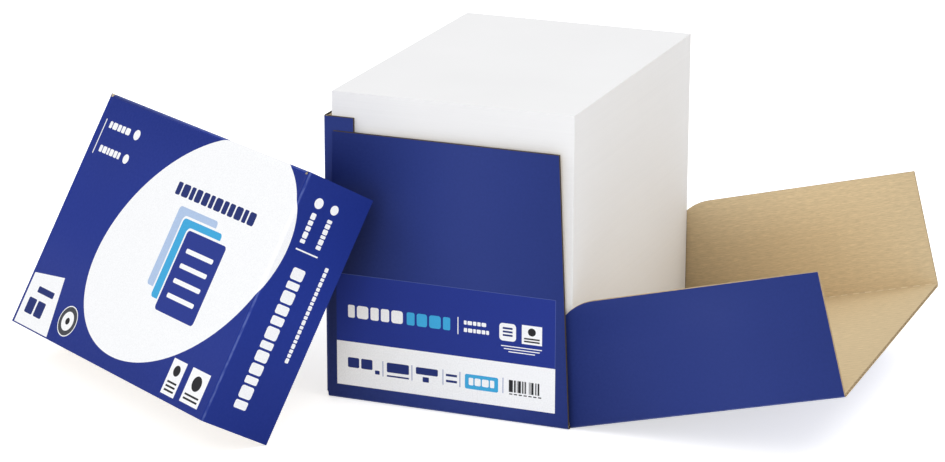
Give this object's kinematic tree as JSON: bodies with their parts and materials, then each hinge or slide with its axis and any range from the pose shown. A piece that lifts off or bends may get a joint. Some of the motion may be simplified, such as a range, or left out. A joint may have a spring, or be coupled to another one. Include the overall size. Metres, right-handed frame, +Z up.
{
  "type": "opened carton of copy paper",
  "caption": "Opened corrugated carton with a tall squared pile of loose A4 sheets, an end wall with side flaps that folds down on its crease, and the taken-off lid leaning on a corner.",
  "frame": {"origin": "middle of the pile's outline, on the ground under the carton's floor", "axes": "+X along the front wall towards the end that folds down, +Y from the front wall to the back wall, +Z up"},
  "size_m": [0.7334, 0.4836, 0.2625],
  "materials": {
    "sheets": "matte, uncoated",
    "printed_board": "printed outer liner, matte",
    "label_paper": "printed, satin"
  },
  "bodies": {
    "carton": {"carton": "printed_board", "paper_stack": "sheets", "lid": "printed_board", "front_label": "label_paper"},
    "end_flap": {"end_flap": "printed_board"}
  },
  "joints": [
    {"name": "end_fold", "type": "hinge", "parent": "carton", "child": "end_flap", "pos_m": [0.1054, 0, 0.003], "axis": [0, -1, 0], "range_deg": [-14.3, 75.6]}
  ]
}
